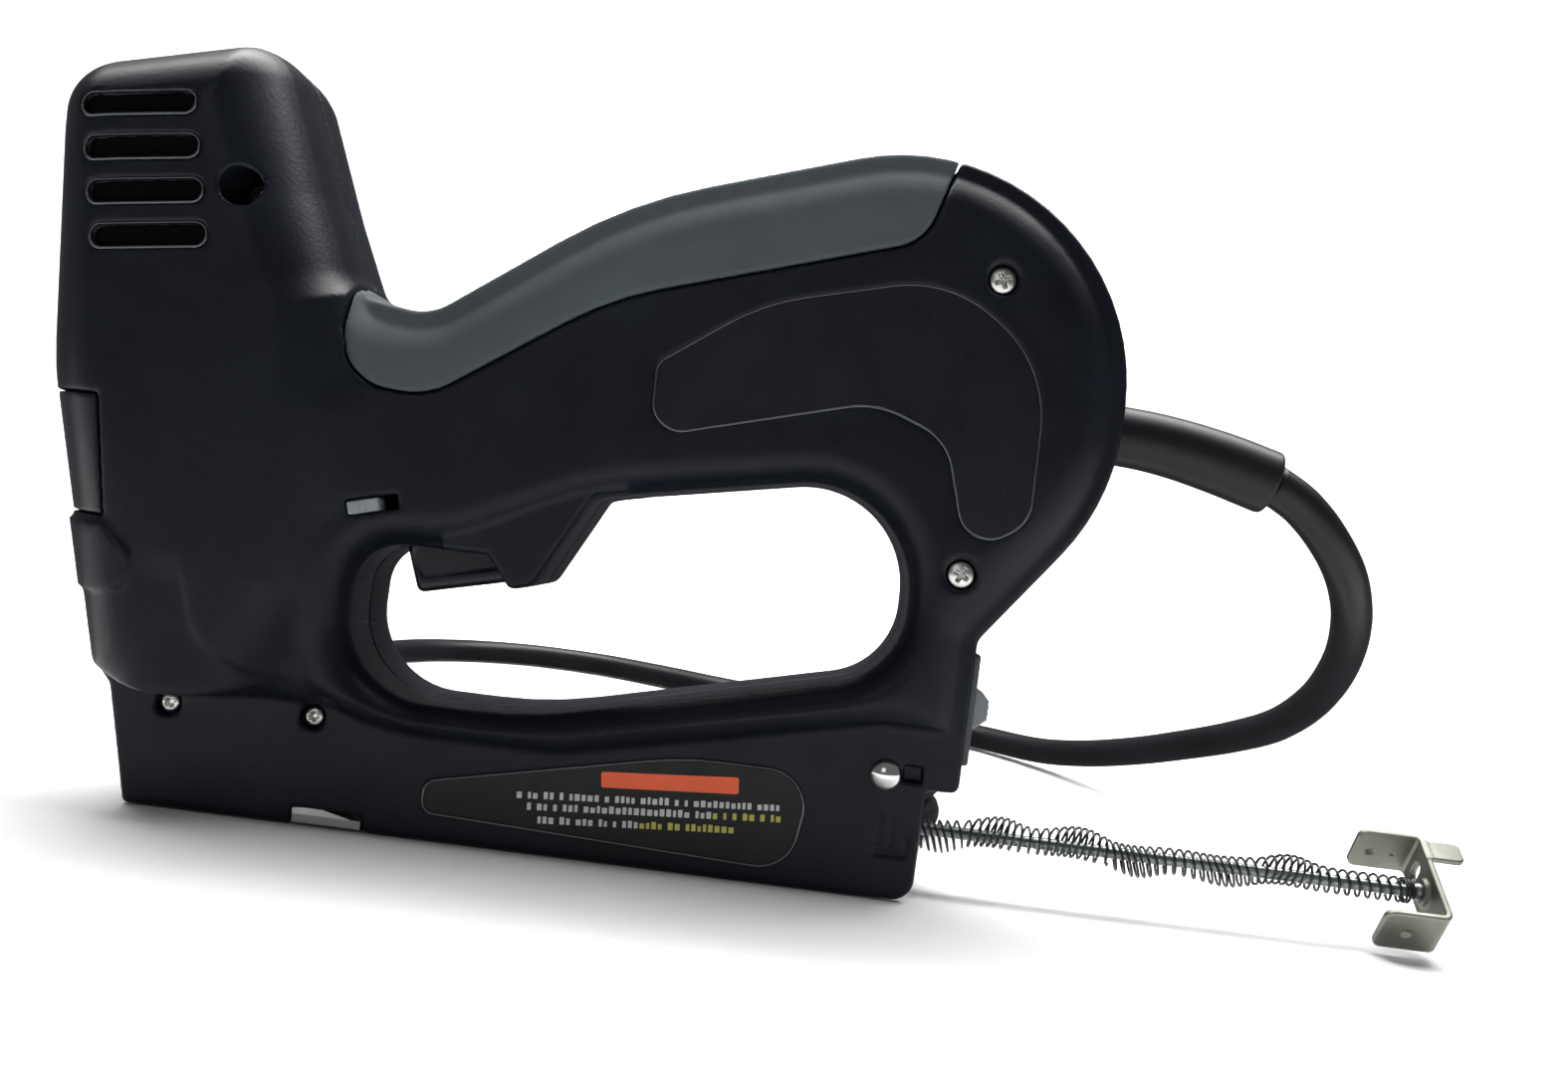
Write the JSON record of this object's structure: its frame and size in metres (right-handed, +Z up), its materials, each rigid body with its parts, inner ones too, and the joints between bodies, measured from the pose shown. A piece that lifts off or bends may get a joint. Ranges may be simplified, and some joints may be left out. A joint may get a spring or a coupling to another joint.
{
  "type": "electric staple gun",
  "caption": "Corded electric staple gun with a tall nose, rubber grip, finger-loop trigger, rear slide switch, pulled-out staple pusher and a coiled power cord with plug.",
  "frame": {"origin": "middle of the tool's length and width, on the flat underside that it stands on", "axes": "+X from the nose towards the cord and the pulled-out pusher, +Y towards the right-hand side, +Z up"},
  "size_m": [0.278, 0.3207, 0.1381],
  "materials": {
    "black_plastic": "fine stipple",
    "grip_rubber": "matt",
    "plate_plastic": "satin",
    "label": "printed sticker",
    "screw_nickel": "bright",
    "pin_chrome": "polished",
    "sheet_steel": "zinc plated",
    "bracket_steel": "passivated zinc",
    "staples": "bright",
    "spring_steel": "dark drawn wire",
    "iron": "plain",
    "copper": "enamelled winding",
    "bobbin_plastic": "plain",
    "buffer_rubber": "plain",
    "trigger_plastic": "satin",
    "dark_plastic": "satin",
    "lock_plastic": "satin",
    "board_laminate": "solder mask",
    "component_cases": "plain",
    "wire_insulation": "smooth",
    "cord_rubber": "satin",
    "tie_fabric": "hook and loop",
    "blade_brass": "plated"
  },
  "bodies": {
    "housing": {"left_housing": "black_plastic", "right_housing": "black_plastic", "grip_cover": "grip_rubber", "name_plate": "plate_plastic", "side_labels": "label", "housing_screws": "screw_nickel", "nose_screws": "screw_nickel", "front_guide": "sheet_steel", "magazine_channel": "sheet_steel", "staple_rail": "sheet_steel", "staple_strip": "staples", "latch_pin": "pin_chrome", "solenoid_frame": "iron", "coil_bobbin": "bobbin_plastic", "coil_winding": "copper", "return_spring": "spring_steel", "bumper": "buffer_rubber", "trigger_pin": "sheet_steel", "trigger_spring": "spring_steel", "trigger_switch": "dark_plastic", "power_switch_body": "dark_plastic", "switch_bezel": "dark_plastic", "circuit_board": "board_laminate", "board_parts": "component_cases", "lead_wires": "wire_insulation", "inner_cord": "cord_rubber", "cord_clamp": "dark_plastic", "clamp_screws": "sheet_steel", "strain_relief": "cord_rubber", "power_cord": "cord_rubber", "cord_coil": "cord_rubber", "cord_tail": "cord_rubber", "cord_tie": "tie_fabric", "plug": "cord_rubber", "plug_blades": "blade_brass"},
    "driver": {"plunger": "iron", "driver_blade": "sheet_steel"},
    "trigger_lever": {"trigger": "trigger_plastic"},
    "lock_tab": {"trigger_lock": "lock_plastic"},
    "switch_knob": {"power_slider": "dark_plastic"},
    "rod": {"pusher_rod": "bracket_steel", "rod_rivet": "bracket_steel", "pusher_spring": "spring_steel"},
    "bracket": {"latch_bracket": "bracket_steel"},
    "staple_pusher": {"pusher": "dark_plastic"}
  },
  "joints": [
    {"name": "driver_slide", "type": "slide", "parent": "housing", "child": "driver", "axis": [0, 0, 1], "range_m": [-0.017, 0], "stiffness_N_per_m": 200, "springref_m": 0.01, "deforming": ["return_spring"]},
    {"name": "trigger_pull", "type": "hinge", "parent": "housing", "child": "trigger_lever", "pos_m": [-0.045, 0, 0.057], "axis": [0, 1, 0], "range_deg": [0, 15], "stiffness_Nm_per_rad": 0.2, "springref_deg": -17.19, "deforming": ["trigger_spring"]},
    {"name": "lock_slide", "type": "slide", "parent": "housing", "child": "lock_tab", "axis": [0.9632, 0, 0.2689], "range_m": [0, 0.0026]},
    {"name": "switch_slide", "type": "slide", "parent": "housing", "child": "switch_knob", "axis": [0, 0, 1], "range_m": [-0.003, 0.003]},
    {"name": "rod_slide", "type": "slide", "parent": "housing", "child": "rod", "axis": [1, 0, 0], "range_m": [-0.097, 0], "deforming": ["pusher_spring"]},
    {"name": "bracket_swivel", "type": "hinge", "parent": "rod", "child": "bracket", "pos_m": [0.1295, 0, 0.0112], "axis": [1, 0, 0], "range_deg": [-36, 0]},
    {"name": "pusher_slide", "type": "slide", "parent": "housing", "child": "staple_pusher", "axis": [1, 0, 0], "range_m": [-0.066, 0]}
  ],
  "couplings": [
    {"joint": "bracket_swivel", "follows": "rod_slide", "rad_per_m": 6.477},
    {"joint": "pusher_slide", "follows": "rod_slide", "ratio": 0.68}
  ]
}
